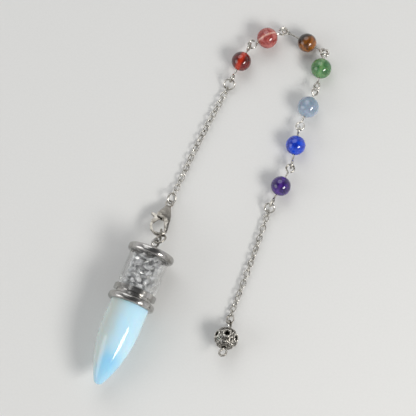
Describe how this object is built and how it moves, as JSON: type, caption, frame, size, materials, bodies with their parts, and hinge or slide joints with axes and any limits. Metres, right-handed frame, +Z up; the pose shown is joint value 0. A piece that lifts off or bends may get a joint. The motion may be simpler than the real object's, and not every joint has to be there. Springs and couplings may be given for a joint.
{
  "type": "pendulum pendant",
  "caption": "Dowsing pendulum: stone point under a tube of crystal chips, lobster clasp, cable chain with round stone beads, and a pierced metal bead at its free end.",
  "frame": {"origin": "middle of the laid-out object on the floor it lies on", "axes": "+Z up from the floor, +Y from the stone point towards the bend of the bead string, +X to the right of it seen from above"},
  "size_m": [0.071, 0.1107, 0.0142],
  "materials": {
    "opalite": "polished milky blue stone",
    "silver": "polished silver plate",
    "clear_glass": "clear",
    "rock_crystal": "tumbled clear quartz",
    "carnelian": "polished",
    "strawberry_quartz": "polished, cloudy",
    "tiger_eye": "polished, banded",
    "aventurine": "polished, cloudy",
    "pale_agate": "polished, cloudy",
    "lapis": "polished",
    "amethyst": "polished, cloudy",
    "antique_silver": "silver plate, darkened in the hollows"
  },
  "bodies": {
    "pendulum": {"stone_point": "opalite", "lower_cap": "silver", "glass_tube": "clear_glass", "crystal_chips": "rock_crystal", "upper_cap": "silver", "cap_ring": "silver", "clasp_ring": "silver", "clasp_body": "silver", "start_ring": "silver", "chain_a": "silver", "ring_a": "silver", "bead_red": "carnelian", "bead_pink": "strawberry_quartz", "bead_brown": "tiger_eye", "bead_green": "aventurine", "bead_pale_blue": "pale_agate", "bead_blue": "lapis", "bead_purple": "amethyst", "pin_red": "silver", "pin_pink": "silver", "pin_brown": "silver", "pin_green": "silver", "pin_pale_blue": "silver", "pin_blue": "silver", "pin_purple": "silver", "ring_b": "silver", "chain_b": "silver", "end_ring": "silver", "end_bead": "antique_silver", "end_pin": "silver"},
    "lever": {"clasp_lever": "silver"}
  },
  "joints": [
    {"name": "lever_hinge", "type": "hinge", "parent": "pendulum", "child": "lever", "pos_m": [-0.0166, -0.00413, 0.00286], "axis": [0.0797, 0.2409, 0.9673], "range_deg": [0, 18], "stiffness_Nm_per_rad": 0.004, "springref_deg": -28.65}
  ]
}
